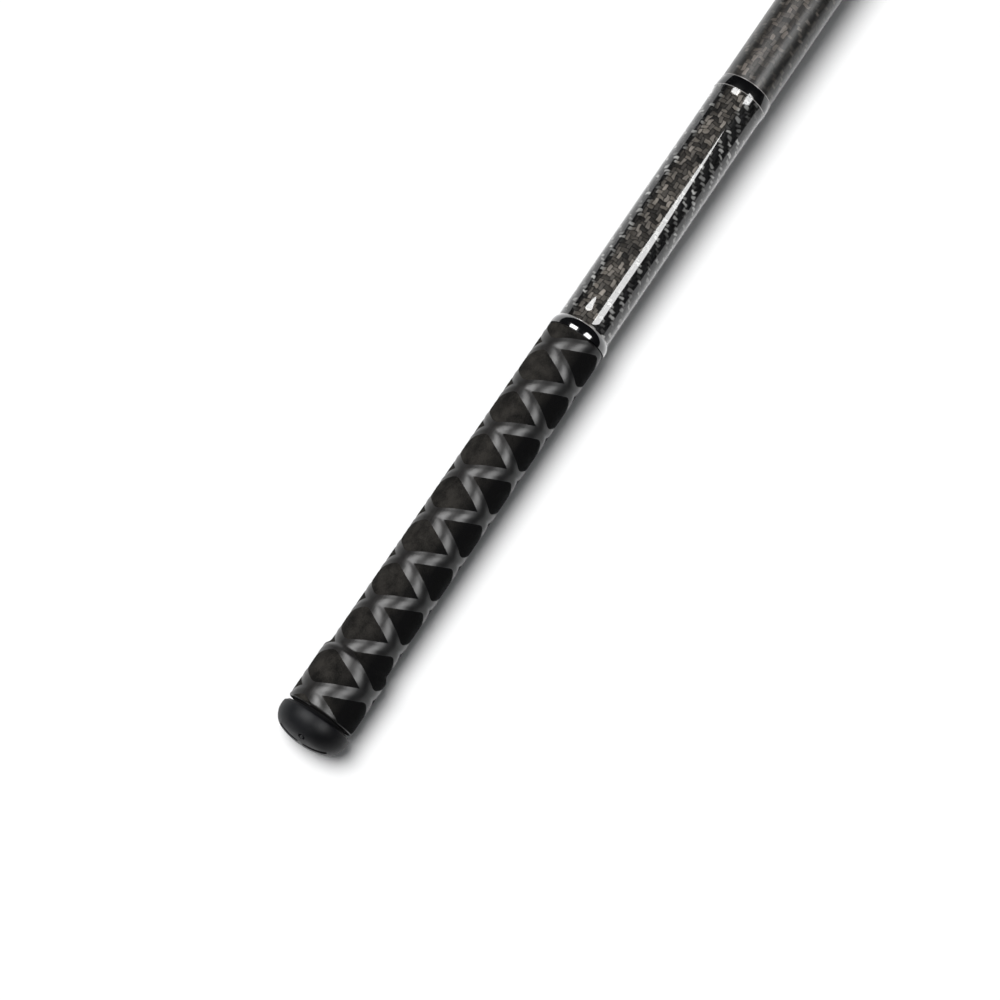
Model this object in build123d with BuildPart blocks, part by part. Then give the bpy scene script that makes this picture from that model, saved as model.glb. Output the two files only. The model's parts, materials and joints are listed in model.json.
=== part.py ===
from build123d import *
from math import asin, cos, radians, sin
import os

os.makedirs("parts", exist_ok=True)

# A curling broom laid down: the head stands on its pad, and the handle slopes down to its end cap.
# The origin is the centre of the pad's sole, +X runs along the handle towards the grip, +Y along
# the head and +Z up. Every size is in millimetres.

# --- Driving dimensions -------------------------------------------------------------------
PIVOT_HEIGHT = 48.0  # head pivot above the sole
REACH = 1153.0  # head pivot to the grip end of the shaft
SWIVEL_LINK = 28.0  # head pivot to cross pivot

SHAFT_RADIUS = 12.7  # one inch tube
SHAFT_WALL = 1.7
SHAFT_BORE = SHAFT_RADIUS - SHAFT_WALL

CAP_RADIUS = 16.6
CAP_END = -11.9  # stations are measured from the grip end of the shaft, towards the head
CAP_WIDEST = -1.6
CAP_CROWN = ((0.3, 6.0), (1.5, 10.6))  # depth under the end, and radius, of two points of the crown
CAP_RIM = 1.4
CAP_RIM_CURVE = ((0.9, 0.04), (1.8, 0.2))  # past the widest station, and inside the widest radius
CAP_RIM_CHAMFER = 1.6
CAP_STEP = 1.0  # the tube's end stands this deep in the cap's rim
CAP_PLUG_LENGTH = 26.0
CAP_PLUG_CHAMFER = (2.0, 1.2)
CAP_MARK_TURN = 6.0  # degrees that the marks of the end face are turned round the handle
CAP_SLOT_SPAN = (1.0, 12.2)  # each slot of the end face starts and ends this far from its middle
CAP_SLOT_WIDTH = 3.2
CAP_SLOT_OFFSET = 4.4  # the slots' line passes this far above the middle
CAP_SLOT_FLOOR = -8.2  # station of the slots' floor near the middle
CAP_RING_OFFSET = 11.2
CAP_RING = (0.8, 1.6)  # radii of the small round mark
CAP_RING_FLOOR = -8.2

GRIP_START = 2.8
GRIP_END_WRAP = 29.0  # the thick end of the grip stops here
GRIP_STEP = 32.5  # and has come down to the main diameter here
GRIP_FINISH = 203.0
GRIP_THICK = 15.7
GRIP_LOW = 14.15  # radius after the step
GRIP_HIGH = 13.8  # radius at the finish
UNDERWRAP = 0.2
GRIP_SKIN = 0.65  # thickness of the lattice sleeve
PAD_SINK = 0.15  # the pads lie this much under the lattice

PAD_PITCH = 22.9
PAD_HALF_HEIGHT = 8.4
PAD_HALF_ANGLE = 71.0
PAD_FIRST = -2.7  # station of the first pad in an even column, which the grip's end cuts
PAD_ROWS = 11
PAD_ROUND = 4.0  # corner radius at a pad's wide middle
PAD_COLUMNS = (-36.0, 61.0, 149.0, -124.0)  # degrees round the tube, from straight up
PRISM_START = 4.0  # the prisms that cut the windows start this far from the tube's axis

LOWER_RING_START = 14.185  # radius of the bead where it meets the grip
LOWER_RING_CREST = (204.4, 14.35)
LOWER_RING_FINISH = 208.2
LOWER_RING_EDGE = 13.0
FILM_RADIUS = 12.92
UPPER_RING = (333.0, 344.3)
UPPER_RING_FLARE = ((335.6, 12.99), (337.6, 13.2))  # the flare passes one point and ends at the next
UPPER_RING_CREST = (340.2, 13.3)
UPPER_RING_EDGE = 0.05  # what is left of the ring's thickness at its far end

FERRULE_RADIUS = 15.5
FERRULE_DEPTH = 55.0
FERRULE_FLOOR = 24.0  # cross pivot to the floor of the socket
FERRULE_MOUTH = ((0.0, 1.6), (1.2, 0.4), (6.0, 0.4), (6.8, 1.0), (8.0, 1.0), (9.2, 0.0))
FERRULE_SHOULDER = 2.0  # the full radius stops this far before the socket's floor
FERRULE_NECK = ((2.0, 4.5), (0.0, 6.5))  # before the bridge, and inside FERRULE_RADIUS
FERRULE_BOSS = 4.0
BUNG_LENGTH = 42.0
BUNG_CHAMFER = 1.5
FERRULE_SCREW_STEP = 20.0  # cross pivot side of the socket to the fixing screws
SCREW_RADIUS = 2.0
SCREW_HEAD = 3.8
SCREW_HEAD_HEIGHT = 1.8
SCREW_HEAD_TAPER = 15
SCREW_LENGTH = 11.0
RECESS = (1.0, 4.2)  # width and length of a screw's cross recess
RECESS_FLOOR = 0.6

FORK_GAP = 6.8  # handle axis to the inner face of a fork arm
FORK_ARM = 5.0
FORK_HALF_WIDTH = 9.5
FORK_BRIDGE = 11.5  # cross pivot to the bridge between the arms

BARREL_RADIUS = 9.0
WEB_WIDTH = 13.0  # of the swivel block between its two barrels
HEAD_BARREL_HALF = 9.0
CROSS_BARREL_HALF = 5.5
BUSH_FLANGE = 1.2
BUSH_FLANGE_RADIUS = 8.0
BUSH_RADIUS = 4.5
BUSH_SPLIT = 0.2  # half the gap between the two bushes of a barrel
RUNNING = 0.06  # radial running clearance of a bolt in its bushes
BOLT_RADIUS = 3.0
FACE_GAP = 0.1

WASHER = 1.0
WASHER_RADIUS = 6.0
BOLT_HEAD_RADIUS = 5.2
HEAD_BOLT_HEIGHT = 4.0
HEAD_NUT_HEIGHT = 5.0
CROSS_BOLT_HEIGHT = 2.6
CROSS_NUT_HEIGHT = 3.2
NUT_FLATS = 10.0
BOLT_STUB = 0.8  # thread that stands past a nut
CROSS_BOLT_ROUND = 1.2
HEAD_BOLT_ROUND = 1.6
HEX_SOCKET = 4.0  # across flats
HEX_DEPTH = 0.65  # share of the bolt head's height

HEAD_LENGTH = 200.0
HEAD_WIDTH = 68.0
HEAD_CORNER = 15.0
PAD_INSET = 1.0  # the pad is this much inside the shell's outline
SOLE = 1.0  # fabric thickness
SOLE_EDGE = 4.5
PLATE_BOTTOM = 10.0
PLATE_TOP = 14.0
SKIRT_TOP = 21.0
SHELL_TOP = 28.0
SHELL_TAPER = 46.0
SHELL_ROUND = 2.5
SHELL_WALL = 2.6
CROWN_HOLLOW = 4.4  # depth of the cavity above the skirt
RIB = 2.4
RIB_MERGE = 0.3  # the ribs run this far into the crown
SPINE_LENGTH = 179.0
CROSS_RIBS = (-82.0, -44.0, 44.0, 82.0)
CROSS_RIB_LENGTH = 57.6
SADDLE_LENGTH = 46.0
SADDLE_WIDTH = 30.0
EAR_INNER = HEAD_BARREL_HALF + BUSH_FLANGE + FACE_GAP
EAR = 6.0
EAR_RADIUS = 10.0
EAR_FOOT = 14.0
EAR_ROOT = 2.0  # ears and gussets start this deep in the material they stand on
EAR_FILLET = 1.5
GUSSET_X = 6.0
GUSSET_REACH = 16.0
GUSSET_HEIGHT = 9.0
PAD_SCREW_X = 18.0
PAD_SCREW_Y = 66.0
PAD_SCREW_BOSS = 5.6
PAD_SCREW_SEAT = 24.0
PAD_SCREW_SPARE = 0.3  # room round a pad screw's head
PAD_SCREW_START = 10.5  # height of a pad screw's tip
INSERT_RADIUS = 3.6
GROOVE_SPOTS = [(x, y) for x in (-9.0, 0.0, 9.0) for y in (-63.0, 63.0)]
GROOVE_LENGTH = 44.0
GROOVE_WIDTH = 3.0
GROOVE_DEPTH = 0.9
CUT_SPARE = 1.0  # cuts run this far past a face
TOUCH = 0.01  # two positions this close are the same

# --- Frames -------------------------------------------------------------------------------
SLOPE = asin((PIVOT_HEIGHT - CAP_RADIUS) / (REACH - CAP_WIDEST))
TO_HEAD = Vector(-cos(SLOPE), 0, sin(SLOPE))
LIFT = Vector(sin(SLOPE), 0, cos(SLOPE))
ACROSS = Vector(0, 1, 0)

HEAD_PIVOT = Vector(0, 0, PIVOT_HEIGHT)
CROSS_PIVOT = HEAD_PIVOT - TO_HEAD * SWIVEL_LINK
GRIP_BUTT = HEAD_PIVOT - TO_HEAD * REACH

SECTION = Plane(origin=GRIP_BUTT, x_dir=TO_HEAD, z_dir=ACROSS)  # x is a station, y a radius
HANDLE_AXIS = Axis(GRIP_BUTT, TO_HEAD)
CROSS_STATION = REACH - SWIVEL_LINK
SOCKET_FLOOR = CROSS_STATION - FERRULE_FLOOR
SOCKET_MOUTH = SOCKET_FLOOR - FERRULE_DEPTH


def across_plane(height):
    """Plane square to the head pivot, that far along +Y."""
    return Plane(origin=HEAD_PIVOT + ACROSS * height, x_dir=TO_HEAD, z_dir=ACROSS)


def lift_plane(height):
    """Plane square to the cross pivot, that far up its axis."""
    return Plane(origin=CROSS_PIVOT + LIFT * height, x_dir=TO_HEAD, z_dir=LIFT)


def section_box(start, end, inner, outer):
    """Rectangle of a turned section between two stations and two radii."""
    with Locations(((start + end) / 2, (inner + outer) / 2)):
        Rectangle(end - start, outer - inner)


def grip_surface(inset):
    """Outline points of the grip's outer surface, moved inwards by inset."""
    return [
        (GRIP_START, GRIP_THICK - inset),
        (GRIP_END_WRAP, GRIP_THICK - inset),
        (GRIP_STEP, GRIP_LOW - inset),
        (GRIP_FINISH, GRIP_HIGH - inset),
    ]


def grip_layer(inset, depth):
    """Turned section of a grip layer between two insets under the grip's outer surface."""
    Polygon(*grip_surface(inset), *reversed(grip_surface(depth)), align=None)


# --- Handle: shaft and end cap ------------------------------------------------------------
with BuildPart() as shaft_tube:
    with BuildSketch(SECTION):
        section_box(CAP_RIM - CAP_STEP, SOCKET_FLOOR, SHAFT_BORE, SHAFT_RADIUS)
    revolve(axis=HANDLE_AXIS)
    # The two fixing screws of the ferrule pass through the wall.
    with BuildSketch(Plane(origin=GRIP_BUTT + TO_HEAD * (SOCKET_FLOOR - FERRULE_SCREW_STEP),
                           x_dir=TO_HEAD, z_dir=ACROSS)):
        Circle(SCREW_RADIUS)
    extrude(amount=FERRULE_RADIUS + CUT_SPARE, both=True, mode=Mode.SUBTRACT)
shaft_tube.part.label = "shaft_tube"
export_step(shaft_tube.part, "parts/shaft_tube.step")

with BuildPart() as end_cap:
    with BuildSketch(SECTION):
        with BuildLine():
            crown = ThreePointArc((CAP_END, 0), *[(CAP_END + depth, r) for depth, r in CAP_CROWN])
            corner = TangentArc(crown @ 1, (CAP_WIDEST, CAP_RADIUS), tangent=crown % 1)
            rim_points = [(CAP_WIDEST + past, CAP_RADIUS - inside) for past, inside in CAP_RIM_CURVE]
            rim = ThreePointArc(corner @ 1, *rim_points)
            Polyline(
                rim @ 1,
                (CAP_RIM, CAP_RADIUS - CAP_RIM_CHAMFER),
                (CAP_RIM, SHAFT_RADIUS),
                (CAP_RIM - CAP_STEP, SHAFT_RADIUS),
                (CAP_RIM - CAP_STEP, SHAFT_BORE),
                (CAP_PLUG_LENGTH - CAP_PLUG_CHAMFER[0], SHAFT_BORE),
                (CAP_PLUG_LENGTH, SHAFT_BORE - CAP_PLUG_CHAMFER[1]),
                (CAP_PLUG_LENGTH, 0),
                crown @ 0,
            )
        make_face()
    revolve(axis=HANDLE_AXIS)
    # Two slots lie in line across the crowned end face, with a small ring mark above them.
    cut_start = CAP_END - CUT_SPARE
    end_face = Plane(origin=GRIP_BUTT + TO_HEAD * cut_start, x_dir=ACROSS, z_dir=TO_HEAD)
    end_face = end_face.rotated((0, 0, CAP_MARK_TURN))
    slot_middle = sum(CAP_SLOT_SPAN) / 2
    slot_length = CAP_SLOT_SPAN[1] - CAP_SLOT_SPAN[0]
    with BuildSketch(end_face):
        with Locations((-slot_middle, -CAP_SLOT_OFFSET), (slot_middle, -CAP_SLOT_OFFSET)):
            SlotOverall(slot_length, CAP_SLOT_WIDTH)
    extrude(amount=CAP_SLOT_FLOOR - cut_start, mode=Mode.SUBTRACT)
    with BuildSketch(end_face):
        with Locations((0, -CAP_RING_OFFSET)):
            Circle(CAP_RING[1])
            Circle(CAP_RING[0], mode=Mode.SUBTRACT)
    extrude(amount=CAP_RING_FLOOR - cut_start, mode=Mode.SUBTRACT)
end_cap.part.label = "end_cap"
export_step(end_cap.part, "parts/end_cap.step")

# --- Handle: grip -------------------------------------------------------------------------
with BuildPart() as grip_underwrap:
    with BuildSketch(SECTION):
        section_box(CAP_RIM, GRIP_FINISH, SHAFT_RADIUS, SHAFT_RADIUS + UNDERWRAP)
    revolve(axis=HANDLE_AXIS)
grip_underwrap.part.label = "grip_underwrap"
export_step(grip_underwrap.part, "parts/grip_underwrap.step")

with BuildPart() as grip_end_wrap:
    # Turns of tape that thicken the grip at its butt.
    with BuildSketch(SECTION):
        Polygon(
            (GRIP_START, SHAFT_RADIUS + UNDERWRAP),
            *grip_surface(GRIP_SKIN),
            (GRIP_FINISH, SHAFT_RADIUS + UNDERWRAP),
            align=None,
        )
    revolve(axis=HANDLE_AXIS)
grip_end_wrap.part.label = "grip_end_wrap"
export_step(grip_end_wrap.part, "parts/grip_end_wrap.step")

with BuildPart() as pad_prisms:
    # Straight prisms whose outlines are the pads' windows: columns stand in staggered rows.
    for index, angle in enumerate(PAD_COLUMNS):
        outward = LIFT * cos(radians(angle)) + ACROSS * sin(radians(angle))
        half_width = GRIP_LOW * sin(radians(PAD_HALF_ANGLE))
        first = PAD_FIRST + (index % 2) * PAD_PITCH / 2
        for row in range(PAD_ROWS):
            centre = GRIP_BUTT + TO_HEAD * (first + row * PAD_PITCH) + outward * PRISM_START
            with BuildSketch(Plane(origin=centre, x_dir=TO_HEAD, z_dir=outward)):
                with BuildLine():
                    Polyline((-PAD_HALF_HEIGHT, 0), (0, -half_width), (PAD_HALF_HEIGHT, 0),
                             (0, half_width), close=True)
                face = make_face()
                fillet(face.vertices().group_by(Axis.X)[0], PAD_ROUND)
            extrude(amount=GRIP_THICK)

with BuildPart() as grip_pads:
    with BuildSketch(SECTION):
        grip_layer(PAD_SINK, GRIP_SKIN)
    revolve(axis=HANDLE_AXIS)
    add(pad_prisms.part, mode=Mode.INTERSECT)
grip_pads.part.label = "grip_pads"
export_step(grip_pads.part, "parts/grip_pads.step")

with BuildPart() as grip_sleeve:
    with BuildSketch(SECTION):
        grip_layer(0, GRIP_SKIN)
    revolve(axis=HANDLE_AXIS)
    add(pad_prisms.part, mode=Mode.SUBTRACT)
grip_sleeve.part.label = "grip_sleeve"
export_step(grip_sleeve.part, "parts/grip_sleeve.step")

with BuildPart() as lower_ring:
    with BuildSketch(SECTION):
        with BuildLine():
            bead = ThreePointArc((GRIP_FINISH, LOWER_RING_START), LOWER_RING_CREST,
                                 (LOWER_RING_FINISH, LOWER_RING_EDGE))
            Polyline(bead @ 1, (LOWER_RING_FINISH, SHAFT_RADIUS), (GRIP_FINISH, SHAFT_RADIUS), bead @ 0)
        make_face()
    revolve(axis=HANDLE_AXIS)
lower_ring.part.label = "lower_ring"
export_step(lower_ring.part, "parts/lower_ring.step")

# --- Handle: clear film over the show weave, and the ring at its far end ---------------------
with BuildPart() as clear_film:
    with BuildSketch(SECTION):
        section_box(LOWER_RING_FINISH, UPPER_RING[0], SHAFT_RADIUS, FILM_RADIUS)
    revolve(axis=HANDLE_AXIS)
clear_film.part.label = "clear_film"
export_step(clear_film.part, "parts/clear_film.step")

with BuildPart() as upper_ring:
    with BuildSketch(SECTION):
        with BuildLine():
            flare = ThreePointArc((UPPER_RING[0], FILM_RADIUS), *UPPER_RING_FLARE)
            ring_end = (UPPER_RING[1], SHAFT_RADIUS + UPPER_RING_EDGE)
            ThreePointArc(flare @ 1, UPPER_RING_CREST, ring_end)
            Polyline(ring_end, (UPPER_RING[1], SHAFT_RADIUS), (UPPER_RING[0], SHAFT_RADIUS), flare @ 0)
        make_face()
    revolve(axis=HANDLE_AXIS)
upper_ring.part.label = "upper_ring"
export_step(upper_ring.part, "parts/upper_ring.step")

# --- Handle: ferrule and cross pivot hardware -------------------------------------------------
SCREW_PLANE_ORIGIN = GRIP_BUTT + TO_HEAD * (SOCKET_FLOOR - FERRULE_SCREW_STEP)
FORK_OUTER = FORK_GAP + FORK_ARM
BRIDGE = CROSS_STATION - FORK_BRIDGE

with BuildPart() as ferrule:
    with BuildSketch(SECTION):
        with BuildLine():
            mouth = [(SOCKET_MOUTH + past, FERRULE_RADIUS - inside) for past, inside in FERRULE_MOUTH]
            shoulder_start = (SOCKET_FLOOR - FERRULE_SHOULDER, FERRULE_RADIUS)
            Polyline((SOCKET_MOUTH, SHAFT_RADIUS), *mouth, shoulder_start)
            neck = [(BRIDGE - before, FERRULE_RADIUS - inside) for before, inside in FERRULE_NECK]
            Spline(shoulder_start, neck[0], tangents=((1, 0), (1, -0.9)))
            Polyline(
                *neck,
                (BRIDGE, 0),
                (SOCKET_FLOOR, 0),
                (SOCKET_FLOOR, SHAFT_RADIUS),
                (SOCKET_MOUTH, SHAFT_RADIUS),
            )
        make_face()
    revolve(axis=HANDLE_AXIS)
    # Two arms reach past the cross pivot, one above and one below the swivel block.
    arm_length = FERRULE_FLOOR - FERRULE_BOSS
    for side in (-1, 1):
        with BuildSketch(lift_plane(side * FORK_GAP)):
            Circle(FORK_HALF_WIDTH)
            with Locations((-arm_length / 2, 0)):
                Rectangle(arm_length, 2 * FORK_HALF_WIDTH)
        extrude(amount=side * FORK_ARM)
    with BuildSketch(lift_plane(0)):
        with Locations((-(FORK_BRIDGE + arm_length) / 2, 0)):
            Rectangle(arm_length - FORK_BRIDGE, 2 * FORK_HALF_WIDTH)
    extrude(amount=FORK_OUTER, both=True)
    with BuildSketch(lift_plane(0)):
        Circle(BOLT_RADIUS + RUNNING)
    extrude(amount=FORK_OUTER, both=True, mode=Mode.SUBTRACT)
    # The nut sits in a pocket of the lower arm, where it can't turn.
    with BuildSketch(lift_plane(-FORK_OUTER)):
        RegularPolygon(NUT_FLATS / 2 + RUNNING, 6, major_radius=False)
    extrude(amount=CROSS_NUT_HEIGHT / 2, mode=Mode.SUBTRACT)
    with BuildSketch(Plane(origin=SCREW_PLANE_ORIGIN, x_dir=TO_HEAD, z_dir=ACROSS)):
        Circle(SCREW_RADIUS)
    extrude(amount=FERRULE_RADIUS + CUT_SPARE, both=True, mode=Mode.SUBTRACT)
ferrule.part.label = "ferrule"
export_step(ferrule.part, "parts/ferrule.step")

with BuildPart() as shaft_bung:
    with BuildSketch(SECTION):
        Polygon(
            (SOCKET_FLOOR - BUNG_LENGTH, 0),
            (SOCKET_FLOOR - BUNG_LENGTH, SHAFT_BORE - BUNG_CHAMFER),
            (SOCKET_FLOOR - BUNG_LENGTH + BUNG_CHAMFER, SHAFT_BORE),
            (SOCKET_FLOOR, SHAFT_BORE),
            (SOCKET_FLOOR, 0),
            align=None,
        )
    revolve(axis=HANDLE_AXIS)
    with BuildSketch(Plane(origin=SCREW_PLANE_ORIGIN, x_dir=TO_HEAD, z_dir=ACROSS)):
        Circle(SCREW_RADIUS)
    extrude(amount=FERRULE_RADIUS, both=True, mode=Mode.SUBTRACT)
shaft_bung.part.label = "shaft_bung"
export_step(shaft_bung.part, "parts/shaft_bung.step")

with BuildPart() as ferrule_screws:
    for side in (-1, 1):
        out = ACROSS * side
        with BuildSketch(Plane(origin=SCREW_PLANE_ORIGIN + out * FERRULE_RADIUS,
                               x_dir=TO_HEAD, z_dir=out)):
            Circle(SCREW_RADIUS)
        extrude(amount=-SCREW_LENGTH)
        with BuildSketch(Plane(origin=SCREW_PLANE_ORIGIN + out * FERRULE_RADIUS,
                               x_dir=TO_HEAD, z_dir=out)):
            Circle(SCREW_HEAD)
        extrude(amount=SCREW_HEAD_HEIGHT, taper=SCREW_HEAD_TAPER)
        with BuildSketch(Plane(origin=SCREW_PLANE_ORIGIN + out * (FERRULE_RADIUS + RECESS_FLOOR),
                               x_dir=TO_HEAD, z_dir=out)):
            Rectangle(*RECESS)
            Rectangle(*reversed(RECESS))
        extrude(amount=SCREW_HEAD_HEIGHT, mode=Mode.SUBTRACT)
ferrule_screws.part.label = "ferrule_screws"
export_step(ferrule_screws.part, "parts/ferrule_screws.step")

with BuildPart() as cross_washer:
    with BuildSketch(lift_plane(FORK_OUTER)):
        Circle(WASHER_RADIUS)
        Circle(BOLT_RADIUS + RUNNING, mode=Mode.SUBTRACT)
    extrude(amount=WASHER)
cross_washer.part.label = "cross_washer"
export_step(cross_washer.part, "parts/cross_washer.step")

with BuildPart() as cross_bolt:
    with BuildSketch(lift_plane(FORK_OUTER + WASHER)):
        Circle(BOLT_RADIUS)
    extrude(amount=-(2 * FORK_OUTER + WASHER + CROSS_NUT_HEIGHT / 2 + BOLT_STUB))
    with BuildSketch(lift_plane(FORK_OUTER + WASHER)):
        Circle(BOLT_HEAD_RADIUS)
    extrude(amount=CROSS_BOLT_HEIGHT)
    fillet(cross_bolt.edges().filter_by(GeomType.CIRCLE).sort_by(Axis(CROSS_PIVOT, LIFT))[-1],
           CROSS_BOLT_ROUND)
    with BuildSketch(lift_plane(FORK_OUTER + WASHER + CROSS_BOLT_HEIGHT)):
        RegularPolygon(HEX_SOCKET / 2, 6, major_radius=False)
    extrude(amount=-CROSS_BOLT_HEIGHT * HEX_DEPTH, mode=Mode.SUBTRACT)
cross_bolt.part.label = "cross_bolt"
export_step(cross_bolt.part, "parts/cross_bolt.step")

with BuildPart() as cross_nut:
    with BuildSketch(lift_plane(-FORK_OUTER + CROSS_NUT_HEIGHT / 2)):
        RegularPolygon(NUT_FLATS / 2, 6, major_radius=False)
        Circle(BOLT_RADIUS, mode=Mode.SUBTRACT)
    extrude(amount=-CROSS_NUT_HEIGHT)
cross_nut.part.label = "cross_nut"
export_step(cross_nut.part, "parts/cross_nut.step")

# --- Swivel block between the two pivots ------------------------------------------------------
with BuildPart() as swivel_block:
    with BuildSketch(across_plane(0)):
        Circle(BARREL_RADIUS)
    extrude(amount=HEAD_BARREL_HALF, both=True)
    with BuildSketch(lift_plane(0)):
        Circle(BARREL_RADIUS)
        with Locations((SWIVEL_LINK / 2, 0)):
            Rectangle(SWIVEL_LINK, WEB_WIDTH)
    extrude(amount=CROSS_BARREL_HALF, both=True)
    with BuildSketch(across_plane(0)):
        Circle(BUSH_RADIUS)
    extrude(amount=HEAD_BARREL_HALF, both=True, mode=Mode.SUBTRACT)
    with BuildSketch(lift_plane(0)):
        Circle(BUSH_RADIUS)
    extrude(amount=CROSS_BARREL_HALF, both=True, mode=Mode.SUBTRACT)
swivel_block.part.label = "swivel_block"
export_step(swivel_block.part, "parts/swivel_block.step")

with BuildPart() as head_pivot_bushes:
    for side in (-1, 1):
        with BuildSketch(across_plane(side * BUSH_SPLIT)):
            Circle(BUSH_RADIUS)
            Circle(BOLT_RADIUS + RUNNING, mode=Mode.SUBTRACT)
        extrude(amount=side * (HEAD_BARREL_HALF - BUSH_SPLIT))
        with BuildSketch(across_plane(side * HEAD_BARREL_HALF)):
            Circle(BUSH_FLANGE_RADIUS)
            Circle(BOLT_RADIUS + RUNNING, mode=Mode.SUBTRACT)
        extrude(amount=side * BUSH_FLANGE)
head_pivot_bushes.part.label = "head_pivot_bushes"
export_step(head_pivot_bushes.part, "parts/head_pivot_bushes.step")

with BuildPart() as cross_pivot_bushes:
    for side in (-1, 1):
        with BuildSketch(lift_plane(side * BUSH_SPLIT)):
            Circle(BUSH_RADIUS)
            Circle(BOLT_RADIUS + RUNNING, mode=Mode.SUBTRACT)
        extrude(amount=side * (CROSS_BARREL_HALF - BUSH_SPLIT))
        with BuildSketch(lift_plane(side * CROSS_BARREL_HALF)):
            Circle(BUSH_FLANGE_RADIUS)
            Circle(BOLT_RADIUS + RUNNING, mode=Mode.SUBTRACT)
        extrude(amount=side * BUSH_FLANGE)
cross_pivot_bushes.part.label = "cross_pivot_bushes"
export_step(cross_pivot_bushes.part, "parts/cross_pivot_bushes.step")

# --- Head: shell with its two ears --------------------------------------------------------------
SCREW_SPOTS = [(x, y) for x in (-PAD_SCREW_X, PAD_SCREW_X) for y in (-PAD_SCREW_Y, PAD_SCREW_Y)]

with BuildPart() as head_shell:
    with BuildSketch(Plane.XY.offset(PLATE_TOP)):
        RectangleRounded(HEAD_WIDTH, HEAD_LENGTH, HEAD_CORNER)
    extrude(amount=SKIRT_TOP - PLATE_TOP)
    with BuildSketch(Plane.XY.offset(SKIRT_TOP)):
        RectangleRounded(HEAD_WIDTH, HEAD_LENGTH, HEAD_CORNER)
    extrude(amount=SHELL_TOP - SKIRT_TOP, taper=SHELL_TAPER)
    fillet(head_shell.edges().filter_by(Plane.XY).group_by(Axis.Z)[-1], SHELL_ROUND)
    fillet(head_shell.edges().filter_by(Plane.XY).group_by(Axis.Z)[1], SHELL_ROUND)
    # The underside is hollow, with ribs, screw bosses and a solid saddle under the ears.
    with BuildSketch(Plane.XY.offset(PLATE_TOP)):
        RectangleRounded(HEAD_WIDTH - 2 * SHELL_WALL, HEAD_LENGTH - 2 * SHELL_WALL,
                         HEAD_CORNER - SHELL_WALL)
    extrude(amount=SKIRT_TOP - PLATE_TOP, mode=Mode.SUBTRACT)
    with BuildSketch(Plane.XY.offset(SKIRT_TOP)):
        RectangleRounded(HEAD_WIDTH - 2 * SHELL_WALL, HEAD_LENGTH - 2 * SHELL_WALL,
                         HEAD_CORNER - SHELL_WALL)
    extrude(amount=CROWN_HOLLOW, taper=SHELL_TAPER, mode=Mode.SUBTRACT)
    with BuildSketch(Plane.XY.offset(PLATE_TOP)):
        Rectangle(SADDLE_WIDTH, SADDLE_LENGTH)
        Rectangle(RIB, SPINE_LENGTH)
        with Locations(*[(0, y) for y in CROSS_RIBS]):
            Rectangle(CROSS_RIB_LENGTH, RIB)
        with Locations(*SCREW_SPOTS):
            Circle(PAD_SCREW_BOSS)
    extrude(amount=SKIRT_TOP + CROWN_HOLLOW - PLATE_TOP + RIB_MERGE)
    # Ears, with two gussets outside each.
    for side in (-1, 1):
        with BuildSketch(Plane(origin=ACROSS * side * EAR_INNER, x_dir=(1, 0, 0),
                               z_dir=(0, -1, 0))):
            with BuildLine():
                arch = CenterArc((0, PIVOT_HEIGHT), EAR_RADIUS, 0, 180)
                Polyline(arch @ 1, (-EAR_FOOT, SHELL_TOP), (-EAR_FOOT, SHELL_TOP - EAR_ROOT),
                         (EAR_FOOT, SHELL_TOP - EAR_ROOT), (EAR_FOOT, SHELL_TOP), arch @ 0)
            make_face()
        extrude(amount=-side * EAR)
    with BuildSketch(*[Plane.YZ.offset(x - RIB / 2) for x in (-GUSSET_X, GUSSET_X)]):
        for side in (-1, 1):
            foot = side * (EAR_INNER + EAR)
            Polygon(
                (foot - side * EAR_ROOT, SHELL_TOP - EAR_ROOT),
                (foot - side * EAR_ROOT, SHELL_TOP + GUSSET_HEIGHT),
                (foot, SHELL_TOP + GUSSET_HEIGHT),
                (foot + side * GUSSET_REACH, SHELL_TOP),
                (foot + side * GUSSET_REACH, SHELL_TOP - EAR_ROOT),
                align=None,
            )
    extrude(amount=RIB)
    feet_reach = EAR_INNER + EAR + GUSSET_REACH + TOUCH
    feet = head_shell.edges().filter_by_position(Axis.Z, SHELL_TOP - TOUCH, SHELL_TOP + TOUCH)
    fillet(feet.filter_by_position(Axis.Y, -feet_reach, feet_reach), EAR_FILLET)
    with BuildSketch(across_plane(0)):
        Circle(BOLT_RADIUS + RUNNING)
    extrude(amount=EAR_INNER + EAR + CUT_SPARE, both=True, mode=Mode.SUBTRACT)
    # Screws go in from above; their heads sit in counterbores.
    with BuildSketch(Plane.XY.offset(PLATE_TOP)):
        with Locations(*SCREW_SPOTS):
            Circle(SCREW_RADIUS + RUNNING)
    extrude(amount=SHELL_TOP, mode=Mode.SUBTRACT)
    with BuildSketch(Plane.XY.offset(PAD_SCREW_SEAT)):
        with Locations(*SCREW_SPOTS):
            Circle(SCREW_HEAD + PAD_SCREW_SPARE)
    extrude(amount=SHELL_TOP, mode=Mode.SUBTRACT)
    # Three grooves decorate the top on each side of the saddle.
    with BuildSketch(Plane.XY.offset(SHELL_TOP - GROOVE_DEPTH)):
        with Locations(*GROOVE_SPOTS):
            SlotOverall(GROOVE_LENGTH, GROOVE_WIDTH, rotation=90)
    extrude(amount=SHELL_TOP, mode=Mode.SUBTRACT)
head_shell.part.label = "head_shell"
export_step(head_shell.part, "parts/head_shell.step")

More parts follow.
